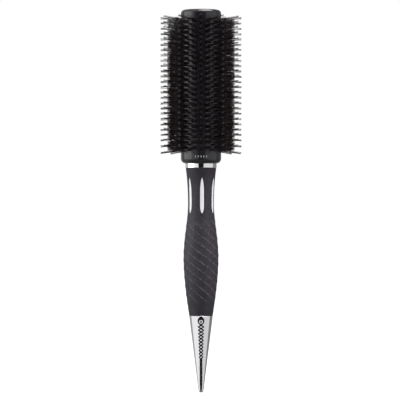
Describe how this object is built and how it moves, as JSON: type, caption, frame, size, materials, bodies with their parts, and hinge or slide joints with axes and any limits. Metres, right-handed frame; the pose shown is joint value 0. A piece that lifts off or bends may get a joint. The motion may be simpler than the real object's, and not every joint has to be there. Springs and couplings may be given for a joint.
{
  "type": "round hairbrush",
  "caption": "Round salon hairbrush with nylon and boar bristles on a tubular barrel, a contoured soft grip and a tapered metal sectioning tail.",
  "frame": {"origin": "the tip of the metal tail, on the brush's axis", "axes": "+Z along the brush's axis from the tail's tip up to the end cap; -Y is the side the picture shows"},
  "size_m": [0.0552, 0.0547, 0.2601],
  "materials": {
    "cap_plastic": "gloss",
    "barrel_plastic": "satin",
    "ring_chrome": "polished",
    "plated_plastic": "polished",
    "grip_rubber": "matte",
    "tail_chrome": "polished",
    "insert_brass": "satin",
    "fastener_steel": "satin",
    "anchor_wire": "satin",
    "nylon_bristle": "satin",
    "boar_bristle": "matte"
  },
  "bodies": {
    "root": {"end_cap": "cap_plastic", "barrel_core": "barrel_plastic", "collar": "cap_plastic", "chrome_ring": "ring_chrome", "handle_core": "plated_plastic", "grip_sleeve": "grip_rubber", "tail_cone": "tail_chrome", "tail_insert": "insert_brass", "tie_rod": "fastener_steel", "flat_washer": "fastener_steel", "lock_washer": "fastener_steel", "clamp_nut": "fastener_steel", "nylon_anchors": "anchor_wire", "boar_anchors": "anchor_wire", "nylon_row_01": "nylon_bristle", "nylon_row_02": "nylon_bristle", "nylon_row_03": "nylon_bristle", "nylon_row_04": "nylon_bristle", "nylon_row_05": "nylon_bristle", "nylon_row_06": "nylon_bristle", "nylon_row_07": "nylon_bristle", "nylon_row_08": "nylon_bristle", "nylon_row_09": "nylon_bristle", "nylon_row_10": "nylon_bristle", "nylon_row_11": "nylon_bristle", "boar_row_01": "boar_bristle", "boar_row_02": "boar_bristle", "boar_row_03": "boar_bristle", "boar_row_04": "boar_bristle", "boar_row_05": "boar_bristle", "boar_row_06": "boar_bristle", "boar_row_07": "boar_bristle", "boar_row_08": "boar_bristle", "boar_row_09": "boar_bristle", "boar_row_10": "boar_bristle", "boar_row_11": "boar_bristle"}
  },
  "joints": []
}
